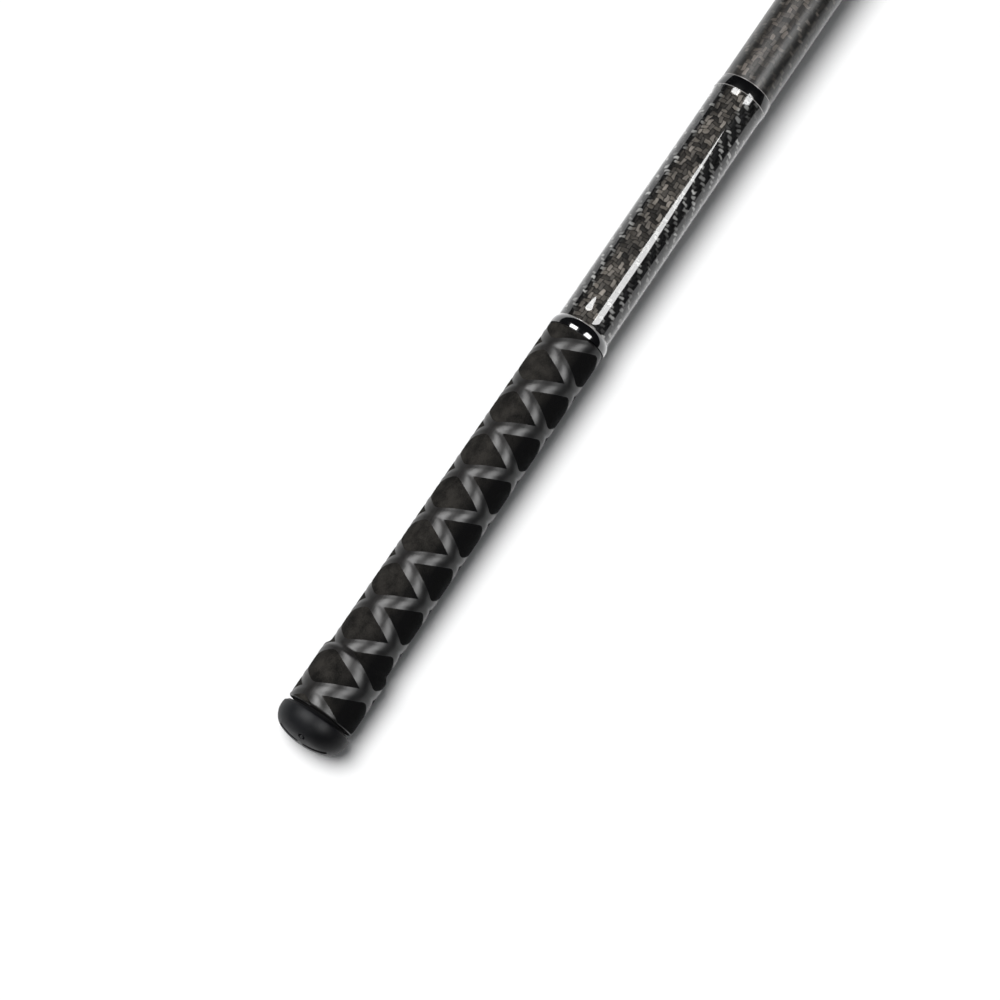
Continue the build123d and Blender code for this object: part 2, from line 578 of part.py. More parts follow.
with BuildPart() as head_pivot_washers:
    for side in (-1, 1):
        with BuildSketch(across_plane(side * (EAR_INNER + EAR))):
            Circle(WASHER_RADIUS)
            Circle(BOLT_RADIUS + RUNNING, mode=Mode.SUBTRACT)
        extrude(amount=side * WASHER)
head_pivot_washers.part.label = "head_pivot_washers"
export_step(head_pivot_washers.part, "parts/head_pivot_washers.step")

HARDWARE_FACE = EAR_INNER + EAR + WASHER

with BuildPart() as head_pivot_bolt:
    with BuildSketch(across_plane(HARDWARE_FACE)):
        Circle(BOLT_RADIUS)
    extrude(amount=-(2 * HARDWARE_FACE + HEAD_NUT_HEIGHT + BOLT_STUB))
    with BuildSketch(across_plane(HARDWARE_FACE)):
        Circle(BOLT_HEAD_RADIUS)
    extrude(amount=HEAD_BOLT_HEIGHT)
    fillet(head_pivot_bolt.edges().filter_by(GeomType.CIRCLE).sort_by(Axis.Y)[-1], HEAD_BOLT_ROUND)
    with BuildSketch(across_plane(HARDWARE_FACE + HEAD_BOLT_HEIGHT)):
        RegularPolygon(HEX_SOCKET / 2, 6, major_radius=False)
    extrude(amount=-HEAD_BOLT_HEIGHT * HEX_DEPTH, mode=Mode.SUBTRACT)
head_pivot_bolt.part.label = "head_pivot_bolt"
export_step(head_pivot_bolt.part, "parts/head_pivot_bolt.step")

with BuildPart() as head_pivot_nut:
    with BuildSketch(across_plane(-HARDWARE_FACE)):
        RegularPolygon(NUT_FLATS / 2, 6, major_radius=False)
        Circle(BOLT_RADIUS, mode=Mode.SUBTRACT)
    extrude(amount=-HEAD_NUT_HEIGHT)
head_pivot_nut.part.label = "head_pivot_nut"
export_step(head_pivot_nut.part, "parts/head_pivot_nut.step")

# --- Head: pad --------------------------------------------------------------------------------
PAD_WIDTH = HEAD_WIDTH - 2 * PAD_INSET
PAD_LENGTH = HEAD_LENGTH - 2 * PAD_INSET
PAD_CORNER = HEAD_CORNER - PAD_INSET
CORE_WIDTH = PAD_WIDTH - 2 * SOLE
CORE_LENGTH = PAD_LENGTH - 2 * SOLE
CORE_CORNER = PAD_CORNER - SOLE

with BuildPart() as pad_plate:
    with BuildSketch(Plane.XY.offset(PLATE_BOTTOM)):
        RectangleRounded(CORE_WIDTH, CORE_LENGTH, CORE_CORNER)
        with Locations(*SCREW_SPOTS):
            Circle(INSERT_RADIUS, mode=Mode.SUBTRACT)
    extrude(amount=PLATE_TOP - PLATE_BOTTOM)
pad_plate.part.label = "pad_plate"
export_step(pad_plate.part, "parts/pad_plate.step")

with BuildPart() as pad_inserts:
    with BuildSketch(Plane.XY.offset(PLATE_BOTTOM)):
        with Locations(*SCREW_SPOTS):
            Circle(INSERT_RADIUS)
            Circle(SCREW_RADIUS, mode=Mode.SUBTRACT)
    extrude(amount=PLATE_TOP - PLATE_BOTTOM)
pad_inserts.part.label = "pad_inserts"
export_step(pad_inserts.part, "parts/pad_inserts.step")

with BuildPart() as pad_foam:
    with BuildSketch(Plane.XY.offset(SOLE)):
        RectangleRounded(CORE_WIDTH, CORE_LENGTH, CORE_CORNER)
    extrude(amount=PLATE_BOTTOM - SOLE)
    fillet(pad_foam.edges().filter_by(Plane.XY).group_by(Axis.Z)[0], SOLE_EDGE - SOLE)
pad_foam.part.label = "pad_foam"
export_step(pad_foam.part, "parts/pad_foam.step")

with BuildPart() as pad_cover:
    with BuildSketch(Plane.XY):
        RectangleRounded(PAD_WIDTH, PAD_LENGTH, PAD_CORNER)
    extrude(amount=PLATE_TOP)
    fillet(pad_cover.edges().filter_by(Plane.XY).group_by(Axis.Z)[0], SOLE_EDGE)
    add(pad_foam.part, mode=Mode.SUBTRACT)
    with BuildSketch(Plane.XY.offset(PLATE_BOTTOM)):
        RectangleRounded(CORE_WIDTH, CORE_LENGTH, CORE_CORNER)
    extrude(amount=PLATE_TOP - PLATE_BOTTOM, mode=Mode.SUBTRACT)
pad_cover.part.label = "pad_cover"
export_step(pad_cover.part, "parts/pad_cover.step")

with BuildPart() as pad_screws:
    with BuildSketch(Plane.XY.offset(PAD_SCREW_START)):
        with Locations(*SCREW_SPOTS):
            Circle(SCREW_RADIUS)
    extrude(amount=PAD_SCREW_SEAT - PAD_SCREW_START)
    with BuildSketch(Plane.XY.offset(PAD_SCREW_SEAT)):
        with Locations(*SCREW_SPOTS):
            Circle(SCREW_HEAD)
    extrude(amount=SCREW_HEAD_HEIGHT, taper=SCREW_HEAD_TAPER)
    with BuildSketch(Plane.XY.offset(PAD_SCREW_SEAT + RECESS_FLOOR)):
        with Locations(*SCREW_SPOTS):
            Rectangle(*RECESS)
            Rectangle(*reversed(RECESS))
    extrude(amount=SCREW_HEAD_HEIGHT, mode=Mode.SUBTRACT)
pad_screws.part.label = "pad_screws"
export_step(pad_screws.part, "parts/pad_screws.step")
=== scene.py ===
import json
from math import asin, atan2, ceil, cos, hypot, pi, radians, sin

import bpy
import numpy as np
from mathutils import Matrix, Vector
from mathutils.bvhtree import BVHTree


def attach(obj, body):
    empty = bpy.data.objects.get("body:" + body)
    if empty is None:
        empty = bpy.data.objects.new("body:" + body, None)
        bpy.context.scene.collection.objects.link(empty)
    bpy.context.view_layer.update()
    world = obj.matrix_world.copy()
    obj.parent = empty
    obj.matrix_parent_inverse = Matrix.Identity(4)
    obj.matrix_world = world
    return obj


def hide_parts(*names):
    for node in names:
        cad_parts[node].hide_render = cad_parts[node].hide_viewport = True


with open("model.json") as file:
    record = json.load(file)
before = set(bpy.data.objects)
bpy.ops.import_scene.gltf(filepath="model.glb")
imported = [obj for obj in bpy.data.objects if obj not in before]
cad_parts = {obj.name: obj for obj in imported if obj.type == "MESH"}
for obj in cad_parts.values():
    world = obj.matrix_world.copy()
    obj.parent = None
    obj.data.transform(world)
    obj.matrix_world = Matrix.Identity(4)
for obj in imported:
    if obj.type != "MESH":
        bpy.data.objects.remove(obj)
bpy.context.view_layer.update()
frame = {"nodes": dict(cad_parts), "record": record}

# --- Driving dimensions, in metres -----------------------------------------------------------
PIVOT_HEIGHT = 0.048
REACH = 1.153
CAP_RADIUS = 0.0166
CAP_WIDEST = -0.0016

SLOPE = asin((PIVOT_HEIGHT - CAP_RADIUS) / (REACH - CAP_WIDEST))
TO_HEAD = Vector((-cos(SLOPE), 0, sin(SLOPE)))
LIFT = Vector((sin(SLOPE), 0, cos(SLOPE)))
ACROSS = Vector((0, 1, 0))
GRIP_BUTT = Vector((0, 0, PIVOT_HEIGHT)) - TO_HEAD * REACH

GRIP_START = 0.0028
GRIP_END_WRAP = 0.0290
GRIP_STEP = 0.0325
GRIP_FINISH = 0.2030
GRIP_THICK = 0.0157
GRIP_LOW = 0.01415
GRIP_HIGH = 0.0138
GRIP_SKIN = 0.00065

PAD_PITCH = 0.0229
PAD_HALF_HEIGHT = 0.0086
PAD_HALF_ANGLE = radians(71)
PAD_FIRST = -0.0027  # station of the first pad in an even column, which the grip's end cuts
PAD_ROWS = 11
PAD_ROUND = 0.0045
PAD_COLUMNS = [radians(a) for a in (-36, 61, 149, -124)]
DEVELOPED_RADIUS = 0.0141  # radius on which the pads' outlines are drawn flat

RIM_STATIONS = {"film_edge_low": (0.2082, 0.01300), "film_edge_crest": (0.3383, 0.01326),
                "film_edge_high": (0.3443, 0.01277)}

PAD_LENGTH = 0.198
PAD_WIDTH = 0.066
PAD_CORNER = 0.014
PLATE_TOP = 0.014


def handle_points(station, radius, angle):
    """Points of the handle: stations from the grip butt, radii, and angles from straight up towards +Y."""
    station, radius, angle = np.broadcast_arrays(station, radius, angle)
    outward = np.cos(angle)[..., None] * np.array(LIFT) + np.sin(angle)[..., None] * np.array(ACROSS)
    return np.array(GRIP_BUTT) + station[..., None] * np.array(TO_HEAD) + radius[..., None] * outward


def smooth_step(x):
    x = np.clip(x, 0, 1)
    return x * x * (3 - 2 * x)


# --- Materials ---------------------------------------------------------------------------------
NOISE_SPAN = (0.3, 0.7)  # most of a noise's values lie between these
# Painted shade: the colours of the bands, pads and cap turn darker on the side of the handle away from the
# key light.
LIT_SIDE = radians(40)  # the key light's side of the handle, from straight up towards -Y
PAINTED_SHADE_FADE = (0.92, 0.35)  # cosines of the angle from the lit side between which the painted shade of the far side begins
# how far the painted shade goes on the far side, as a share towards its shade colour
PAINTED_SHADE_SHARE = 0.95


class Graph:
    """A node material. Each method adds one node and returns its output socket."""

    def __init__(self, name, **constants):
        self.material = bpy.data.materials.new(name)
        self.material.use_nodes = True
        self.nodes = self.material.node_tree.nodes
        self.shader = self.nodes["Principled BSDF"]
        for key, value in constants.items():
            self.shader.inputs[key.replace("_", " ")].default_value = value
        self.position = self.add("ShaderNodeTexCoord").outputs["Object"]

    def add(self, kind, *inputs, **settings):
        node = self.nodes.new(kind)
        for key, value in settings.items():
            setattr(node, key, value)
        for socket, value in zip(node.inputs, inputs):
            self.put(socket, value)
        return node

    def put(self, socket, value):
        if isinstance(value, bpy.types.NodeSocket):
            self.material.node_tree.links.new(value, socket)
        elif value is not None:
            socket.default_value = value

    def math(self, operation, *inputs):
        return self.add("ShaderNodeMath", *inputs, operation=operation).outputs[0]

    def dot(self, a, b):
        return self.add("ShaderNodeVectorMath", a, tuple(b), operation="DOT_PRODUCT").outputs["Value"]

    def subtract(self, a, b):
        return self.add("ShaderNodeVectorMath", a, tuple(b), operation="SUBTRACT").outputs[0]

    def scale(self, vector, factors):
        return self.add("ShaderNodeVectorMath", vector, tuple(factors), operation="MULTIPLY").outputs[0]

    def combine(self, x, y, z=0.0):
        return self.add("ShaderNodeCombineXYZ", x, y, z).outputs[0]

    def remap(self, value, low, high, to_low=0.0, to_high=1.0):
        return self.add("ShaderNodeMapRange", value, low, high, to_low, to_high).outputs[0]

    def spread(self, noise, to_low=0.0, to_high=1.0):
        """A noise's usual span drawn out to another one."""
        return self.remap(noise, *NOISE_SPAN, to_low, to_high)

    def arch(self, share):
        """0 at 0 and at 1, and 1 half way."""
        return self.math("MULTIPLY", self.math("MULTIPLY", share, self.math("SUBTRACT", 1.0, share)), 4.0)

    def noise(self, vector, scale, detail=3.0, roughness=0.55):
        node = self.add("ShaderNodeTexNoise")
        self.put(node.inputs["Vector"], vector)
        node.inputs["Scale"].default_value = scale
        node.inputs["Detail"].default_value = detail
        node.inputs["Roughness"].default_value = roughness
        return node.outputs[0]

    def blend(self, factor, a, b):
        """A number between two numbers."""
        node = self.add("ShaderNodeMix", data_type="FLOAT")
        for socket, value in zip(("Factor", "A", "B"), (factor, a, b)):
            self.put(node.inputs[socket], value)
        return node.outputs[0]

    def colour(self, factor, a, b):
        """A colour between two colours."""
        node = self.add("ShaderNodeMix", data_type="RGBA")
        self.put(node.inputs[0], factor)
        self.put(node.inputs[6], a if isinstance(a, bpy.types.NodeSocket) else (*a, 1.0))
        self.put(node.inputs[7], b if isinstance(b, bpy.types.NodeSocket) else (*b, 1.0))
        return node.outputs[2]

    def bump(self, height, distance, strength=1.0, under=None):
        node = self.add("ShaderNodeBump")
        node.inputs["Strength"].default_value = strength
        node.inputs["Distance"].default_value = distance
        self.put(node.inputs["Height"], height)
        if under is not None:
            self.put(node.inputs["Normal"], under)
        return node.outputs[0]

    def finish(self, colour, roughness=None, normal=None):
        self.put(self.shader.inputs["Base Color"],
                 colour if isinstance(colour, bpy.types.NodeSocket) else (*colour, 1.0))
        if roughness is not None:
            self.put(self.shader.inputs["Roughness"], roughness)
        if normal is not None:
            self.put(self.shader.inputs["Normal"], normal)
        return self.material

    def station(self):
        """How far along the handle the shaded point is, from the grip's butt."""
        return self.dot(self.subtract(self.position, GRIP_BUTT), TO_HEAD)

    def angle(self):
        """Where round the handle the shaded point is, from straight up towards +Y."""
        offset = self.subtract(self.position, GRIP_BUTT)
        return self.math("ARCTAN2", self.dot(offset, ACROSS), self.dot(offset, LIFT))

    def painted_far_shade(self):
        """Share of painted shade: 0 on the side of the handle that the key light reaches, up to its full
        share on the other side.
        """
        from_lit = self.math("COSINE", self.math("ADD", self.angle(), LIT_SIDE))
        return self.remap(from_lit, *PAINTED_SHADE_FADE, 0.0, PAINTED_SHADE_SHARE)


TOW = 0.00187
TOWS_ROUND = 44
TOW_WANDER = 1.9
TOW_SWAY = (210.0, 160.0)  # noise scales of the tows' wander along the handle and round it
TOW_DETAIL = 2.0  # octaves of the weave's noises
TOW_CHANCE = 0.7  # how much of a tow's tone is by chance, and not from its fibres
TOW_CORNERS = 0.15
TOW_FULLNESS = (0.35, 0.4)  # powers that flatten a tow's top lengthwise and crosswise
FIBRE_SCALE = (0.35, 9.0)  # of the fibres' noise, along a tow and across it
FIBRE_SPAN = (0.25, 0.75)
REPEAT = 4.0  # tows to a repeat of the twill: over two and under two


def twill(g):
    """2x2 twill round the shaft: (where the tows along it are on top, height, tone), each from 0 to 1."""
    sway, sway_round = [g.noise(g.position, scale, TOW_DETAIL) for scale in TOW_SWAY]
    u = g.math("MULTIPLY_ADD", sway, TOW_WANDER, g.math("DIVIDE", g.station(), TOW))
    v = g.math("MULTIPLY_ADD", sway_round, TOW_WANDER, g.math("MULTIPLY", g.angle(), TOWS_ROUND / (2 * pi)))
    i, j = g.math("FLOOR", u), g.math("FLOOR", v)
    on_top = g.math("LESS_THAN", g.math("FLOORED_MODULO", g.math("ADD", i, j), REPEAT), REPEAT / 2)
    phase_along, phase_round = g.math("ADD", u, j), g.math("ADD", v, i)
    run_along = g.math("MULTIPLY", g.math("FLOORED_MODULO", phase_along, REPEAT), 2 / REPEAT)
    run_round = g.math("MULTIPLY_ADD", g.math("FLOORED_MODULO", phase_round, REPEAT), 2 / REPEAT, -1.0)
    crown = g.arch(g.blend(on_top, run_round, run_along))
    ridge = g.arch(g.blend(on_top, g.math("FRACT", u), g.math("FRACT", v)))
    tops = [g.math("POWER", top, power) for top, power in zip((crown, ridge), TOW_FULLNESS)]
    height = g.math("SMOOTH_MIN", *tops, TOW_CORNERS)
    along_id = g.combine(j, g.math("FLOOR", g.math("DIVIDE", phase_along, REPEAT)), 1.0)
    round_id = g.combine(i, g.math("FLOOR", g.math("DIVIDE", phase_round, REPEAT)), 2.0)
    chance = [g.add("ShaderNodeTexWhiteNoise", tow_id).outputs["Value"] for tow_id in (round_id, along_id)]
    along, across = FIBRE_SCALE
    stretched = [g.combine(g.math("MULTIPLY", u, by_u), g.math("MULTIPLY", v, by_v))
                 for by_u, by_v in ((across, along), (along, across))]
    fibres = [g.noise(place, 1.0, TOW_DETAIL) for place in stretched]
    fibre = g.remap(g.blend(on_top, *fibres), *FIBRE_SPAN)
    return on_top, height, g.blend(TOW_CHANCE, fibre, g.blend(on_top, *chance))


PAINTED_LIT_SIDES = 3.0  # how many sides of the shaft are painted lit, as painted sheen
# turn of the painted lit sides round the shaft
PAINTED_LIT_TURN = radians(9)
PAINTED_LIT_FLANKS = (0.05, 0.6)  # cosines between which a painted dark side turns into a painted lit one
TOW_CREST = (0.62, 0.42)  # height from which a tow shows, on a painted dark side, where only the crowns show as painted glints, and on a painted lit one
CREST_SLOPE = 0.3
CREST_ROUND = 0.1
TONE_POWER = 2.1  # makes the bright tows few
TONE_SPAN = (0.08, 3.3)  # how much darker and brighter than its colour a tow gets
PATCH_SCALE = 75.0
PATCH_SPAN = (0.32, 0.68)
PATCH_TONE = (0.6, 1.4)


def weave_colour(g, along, round_it, gap):
    """(colour, height) of the twill, with painted sheen and painted glints. Tows shine or not by how they lie
    to the light, so three sides of the shaft are painted lit and the sides between painted dark.

    along and round_it hold the colours of the tows that run that way, on a painted dark side and on a painted
    lit one.
    """
    on_top, height, tone = twill(g)
    # Painted sheen: the sides of the shaft painted lit, by angle round it, with painted dark sides between.
    painted_lit_facing = g.math("COSINE", g.math("MULTIPLY", g.math("ADD", g.angle(), PAINTED_LIT_TURN), PAINTED_LIT_SIDES))
    lit = g.remap(painted_lit_facing, *PAINTED_LIT_FLANKS)
    tow = g.colour(on_top, g.colour(lit, *round_it), g.colour(lit, *along))
    over_crest = g.math("SUBTRACT", height, g.remap(lit, 0.0, 1.0, *TOW_CREST))
    shown = g.math("SMOOTH_MIN", 1.0, g.math("DIVIDE", over_crest, CREST_SLOPE), CREST_ROUND)
    shaded = g.colour(g.math("MAXIMUM", shown, 0.0), gap, tow)
    patchy = g.remap(g.noise(g.position, PATCH_SCALE), *PATCH_SPAN, *PATCH_TONE)
    tone = g.math("MULTIPLY", g.remap(g.math("POWER", tone, TONE_POWER), 0.0, 1.0, *TONE_SPAN), patchy)
    scaled = g.add("ShaderNodeVectorMath", shaded, operation="SCALE")
    g.put(scaled.inputs["Scale"], tone)
    return scaled.outputs[0], height


GLOSS = {"Coat_Weight": 1.0, "Coat_Roughness": 0.015, "Coat_IOR": 1.5, "Specular_IOR_Level": 0.05}
FILM_RELIEF = 0.00015
# Tow colours in pairs, on a painted dark side and on a painted lit one; on the film's dark side the tows
# round the shaft are pale where their crowns show, as painted glints.
FILM_TOWS_PAINTED_SHEEN = {"along": ((0.005, 0.005, 0.0055), (0.096, 0.087, 0.077)),
             "round_it": ((0.150, 0.150, 0.145), (0.058, 0.052, 0.045)), "gap": (0.0012, 0.0012, 0.0013)}
SATIN_TOWS_PAINTED_SHEEN = {"along": ((0.018, 0.016, 0.0135), (0.052, 0.045, 0.039)),
              "round_it": ((0.046, 0.041, 0.035), (0.040, 0.034, 0.029)), "gap": (0.010, 0.009, 0.008)}


def weave_material(name, tows, roughness, relief, **shine):
    g = Graph(name, **shine)
    colour, height = weave_colour(g, **tows)
    return g.finish(colour, roughness, g.bump(height, relief))


LIP_START = 0.2152  # station where the film starts to climb
LIP_CURVE = 620.0  # per metre squared: the film lifts off by this times the cube of the way into the lip
UNDER_FILM = 0.45  # roughness of the weave under the film
COLLAR_BLACK = (0.0015, 0.0015, 0.002)
COLLAR_ROUGHNESS = 0.3


def film_material():
    """Weave under clear film. The film's gloss follows its lip, where it climbs over the lower ring."""
    g = Graph("weave_under_film", **GLOSS)
    colour, height = weave_colour(g, **FILM_TOWS_PAINTED_SHEEN)
    into_lip = g.math("MAXIMUM", g.math("SUBTRACT", LIP_START, g.station()), 0.0)
    lift = g.math("MULTIPLY", g.math("POWER", into_lip, 3.0), LIP_CURVE)
    g.put(g.shader.inputs["Coat Normal"], g.bump(lift, 1.0))
    return g.finish(colour, UNDER_FILM, g.bump(height, FILM_RELIEF))


def collar_material():
    """The upper ring: show weave up to where the film is cut, then black gloss."""
    g = Graph("collar", **GLOSS)
    colour, height = weave_colour(g, **FILM_TOWS_PAINTED_SHEEN)
    past_cut = g.math("GREATER_THAN", g.station(), RIM_STATIONS["film_edge_crest"][0])
    normal = g.bump(g.math("MULTIPLY", height, g.math("SUBTRACT", 1.0, past_cut)), FILM_RELIEF)
    return g.finish(g.colour(past_cut, colour, COLLAR_BLACK), COLLAR_ROUGHNESS, normal)


STREAK_SCALE = (45.0, 30.0)  # of the striations, along the handle and round it
LATTICE_TONES = ((0.0070, 0.0066, 0.0066), (0.0160, 0.0146, 0.0136))
# colour of the bands' painted shade on the far side of the handle
LATTICE_PAINTED_SHADE = (0.0012, 0.0013, 0.0016)
LATTICE_ROUGHNESS = (0.32, 0.40)


def lattice_material():
    """Heat-shrink bands: satin, with fine striations along the handle, and painted shade on the side away
    from the key light.
    """
    g = Graph("shrink_lattice", Specular_IOR_Level=0.27)
    along, across = STREAK_SCALE
    stretched = g.combine(g.math("MULTIPLY", g.station(), along), g.math("MULTIPLY", g.angle(), across))
    streaks = g.noise(stretched, 1.0)
    mottle = g.noise(g.position, 220.0)
    # Painted shade: the bands turn towards a dark colour on the side away from the key light.
    colour = g.colour(g.painted_far_shade(), g.colour(g.spread(streaks), *LATTICE_TONES), LATTICE_PAINTED_SHADE)
    roughness = g.math("ADD", g.spread(mottle, *LATTICE_ROUGHNESS), g.spread(streaks, -0.04, 0.04))
    normal = g.bump(streaks, 0.000018)
    return g.finish(colour, roughness, g.bump(mottle, 0.00001, under=normal))


FOAM_TONES = ((0.0060, 0.0057, 0.0052), (0.0320, 0.0295, 0.0265))
# colour of the pads' painted shade on the far side of the handle
FOAM_PAINTED_SHADE = (0.0015, 0.0016, 0.0019)
FOAM_SPAN = (0.4, 0.6)  # of the tone's noises, whose sum spreads less than one of them
FOAM_MOTTLE = 0.55  # share of the coarse noise in the tone
FOAM_ROUGHNESS = (0.75, 0.92)


def foam_pad_material():
    """Matte foam-like rubber of the grip pads, with painted shade on the side away from the key light."""
    g = Graph("foam_rubber", Specular_IOR_Level=0.03)
    grain = g.noise(g.position, 2600.0, 4.0, 0.7)
    mottle = g.noise(g.position, 160.0)
    tone = g.remap(g.blend(FOAM_MOTTLE, grain, mottle), *FOAM_SPAN)
    # Painted shade: the pads turn towards a dark colour on the side away from the key light.
    colour = g.colour(g.painted_far_shade(), g.colour(tone, *FOAM_TONES), FOAM_PAINTED_SHADE)
    normal = g.bump(grain, 0.00018)
    return g.finish(colour, g.spread(mottle, *FOAM_ROUGHNESS), g.bump(mottle, 0.0002, 0.6, normal))


BLOTCH_SCALE = 45.0
BLOTCH_TONES = (0.8, 1.25)  # shares of the colour


def moulded_material(name, colour, roughness, grain=0.00003, scale=900.0, **shine):
    """Moulded plastic or rubber, with a fine grain and faint blotches."""
    g = Graph(name, **shine)
    fine = g.noise(g.position, scale)
    blotch = g.noise(g.position, BLOTCH_SCALE)
    deep, pale = (tuple(c * share for c in colour) for share in BLOTCH_TONES)
    shade = g.colour(g.spread(blotch), deep, pale)
    rough = g.math("ADD", g.spread(blotch, roughness - 0.04, roughness + 0.04), g.spread(fine, -0.03, 0.03))
    return g.finish(shade, rough, g.bump(fine, grain))


CAP_TONES = ((0.0080, 0.0085, 0.0098), (0.0150, 0.0153, 0.0166))
# colour of the cap's painted shade on the far side of the handle
CAP_PAINTED_SHADE = (0.0006, 0.0007, 0.0014)
CAP_ROUGHNESS = (0.42, 0.5)


def cap_material():
    """Satin moulded rubber of the end cap, with painted shade on the side away from the key light."""
    g = Graph("satin_rubber", Specular_IOR_Level=0.085)
    blotch = g.noise(g.position, 160.0)
    # Painted shade: the cap turns towards a dark colour on the side away from the key light.
    shade = g.colour(g.painted_far_shade(), g.colour(g.spread(blotch), *CAP_TONES), CAP_PAINTED_SHADE)
    return g.finish(shade, g.spread(blotch, *CAP_ROUGHNESS), g.bump(blotch, 0.00004))


def metal_material(name, colour, roughness, brushed=(1.0, 1.0, 1.0), scale=500.0):
    """Metal with fine brushing stretched along the small factors of brushed."""
    g = Graph(name, Metallic=1.0)
    lines = g.noise(g.scale(g.position, brushed), scale, 4.0)
    smudge = g.noise(g.position, 90.0)
    shade = g.colour(g.remap(smudge, 0.25, 0.75), tuple(c * 0.82 for c in colour), colour)
    rough = g.math("ADD", g.spread(smudge, roughness - 0.05, roughness + 0.08), g.spread(lines, -0.05, 0.05))
    return g.finish(shade, rough, g.bump(lines, 0.00002))


THREAD_LEAN = (0.83, 0.37)  # how far height carries the two sets of threads on, so that the sides show both


def cloth_material(name, light, dark, thread):
    """Plain weave along X and Y with a soft sheen, light where worn and dark between the threads."""
    g = Graph(name, Sheen_Weight=0.25, Sheen_Roughness=0.4, Specular_IOR_Level=0.3)
    split = g.add("ShaderNodeSeparateXYZ", g.position)
    x, y, z = split.outputs
    threads = [g.math("ADD", axis, g.math("MULTIPLY", z, lean)) for axis, lean in zip((x, y), THREAD_LEAN)]
    waves = [g.math("SINE", g.math("MULTIPLY", run, 2 * pi / thread)) for run in threads]
    weave = g.math("MULTIPLY", *waves)
    fuzz = g.noise(g.position, 1500.0)
    worn = g.noise(g.position, 30.0, 4.0)
    tone = g.math("ADD", g.remap(weave, -1.0, 1.0, 0.0, 0.45),
                  g.math("ADD", g.spread(fuzz, 0.0, 0.2), g.spread(worn, 0.0, 0.35)))
    normal = g.bump(weave, 0.00012)
    return g.finish(g.colour(tone, dark, light), 0.72, g.bump(fuzz, 0.00008, under=normal))


MATERIALS = {
    "film": film_material(),
    "carbon": weave_material("satin_weave", SATIN_TOWS_PAINTED_SHEEN, 0.3, 0.00002, Specular_IOR_Level=0.5),
    "collar": collar_material(),
    "black_gloss": moulded_material("black_gloss", (0.0025, 0.0025, 0.003), 0.08, 0.000004, 500.0,
                                    Coat_Weight=1.0, Coat_Roughness=0.02),
    "grip_lattice": lattice_material(),
    "grip_pad": foam_pad_material(),
    "tape": moulded_material("tape", (0.004, 0.004, 0.004), 0.85, Specular_IOR_Level=0.05),
    "cap": cap_material(),
    "ferrule": moulded_material("nylon_ferrule", (0.014, 0.014, 0.015), 0.42, 0.000015, 1100.0),
    "block": moulded_material("nylon_block", (0.018, 0.018, 0.020), 0.45, 0.000015, 1100.0),
    "bush": moulded_material("natural_nylon", (0.62, 0.60, 0.54), 0.45, 0.00001, 900.0),
    "bung": moulded_material("grey_nylon", (0.2, 0.2, 0.2), 0.5),
    "steel": metal_material("zinc_steel", (0.62, 0.62, 0.64), 0.28, (1.0, 6.0, 1.0)),
    "brass": metal_material("brass", (0.75, 0.56, 0.27), 0.3),
    "shell": moulded_material("nylon_shell", (0.014, 0.014, 0.015), 0.40, 0.000015, 1000.0),
    "plate": moulded_material("plastic_sheet", (0.05, 0.05, 0.05), 0.5),
    "cover": cloth_material("yellow_nylon_cloth", (0.72, 0.43, 0.045), (0.42, 0.22, 0.015), 0.0011),
    "stitch": moulded_material("stitch_thread", (0.30, 0.17, 0.02), 0.7, 0.00008, 3000.0),
    # Film lips: pale partly as a painted highlight line along each cut edge, with a real glossy coat.
    "film_edge": moulded_material("film_edge", (0.32, 0.31, 0.30), 0.12, 0.000004, 500.0,
                                  Coat_Weight=1.0, Coat_Roughness=0.03),
}


def dress(piece, material):
    piece.data.materials.clear()
    piece.data.materials.append(MATERIALS[material])


def make_piece(name, points, faces, body, material, sharp=None):
    """A mesh piece that rides on a body. sharp is the angle over which its edges stay sharp."""
    mesh = bpy.data.meshes.new(name)
    mesh.from_pydata([tuple(p) for p in points], [], [tuple(f) for f in faces])
    mesh.validate()
    mesh.shade_smooth()
    if sharp is not None:
        mesh.set_sharp_from_angle(angle=sharp)
    piece = bpy.data.objects.new(name, mesh)
    bpy.context.scene.collection.objects.link(piece)
    dress(piece, material)
    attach(piece, body)
    return piece


def wrapped_faces(rows, columns):
    """Quads of a grid that closes on itself both ways."""
    quads = []
    for r in range(rows):
        for c in range(columns):
            next_r, next_c = (r + 1) % rows, (c + 1) % columns
            quads.append((r * columns + c, r * columns + next_c,
                          next_r * columns + next_c, next_r * columns + c))
    return quads


# --- Grip: lattice and pads ----------------------------------------------------------------------
def grip_radius(station):
    step = smooth_step((station - GRIP_END_WRAP) / (GRIP_STEP - GRIP_END_WRAP))
    along = np.clip((station - GRIP_STEP) / (GRIP_FINISH - GRIP_STEP), 0, 1)
    return GRIP_THICK + (GRIP_LOW - GRIP_THICK) * step + (GRIP_HIGH - GRIP_LOW) * along


PAD_HALF_LENGTH = PAD_HALF_ANGLE * DEVELOPED_RADIUS
FLANK_TILT = atan2(PAD_HALF_HEIGHT, PAD_HALF_LENGTH)
ROUND_CENTRE = PAD_HALF_HEIGHT - PAD_ROUND / cos(FLANK_TILT)


def pad_distance(x, y):
    """Distance outside a pad's outline, negative inside, from its centre's developed axes."""
    x, y = np.abs(x), np.abs(y)
    flank = (x / PAD_HALF_LENGTH + y / PAD_HALF_HEIGHT - 1) / hypot(1 / PAD_HALF_LENGTH, 1 / PAD_HALF_HEIGHT)
    corner = np.hypot(x, y - ROUND_CENTRE) - PAD_ROUND
    by_corner = (y > ROUND_CENTRE) & (x * cos(FLANK_TILT) < (y - ROUND_CENTRE) * sin(FLANK_TILT))
    return np.where(by_corner, corner, flank)


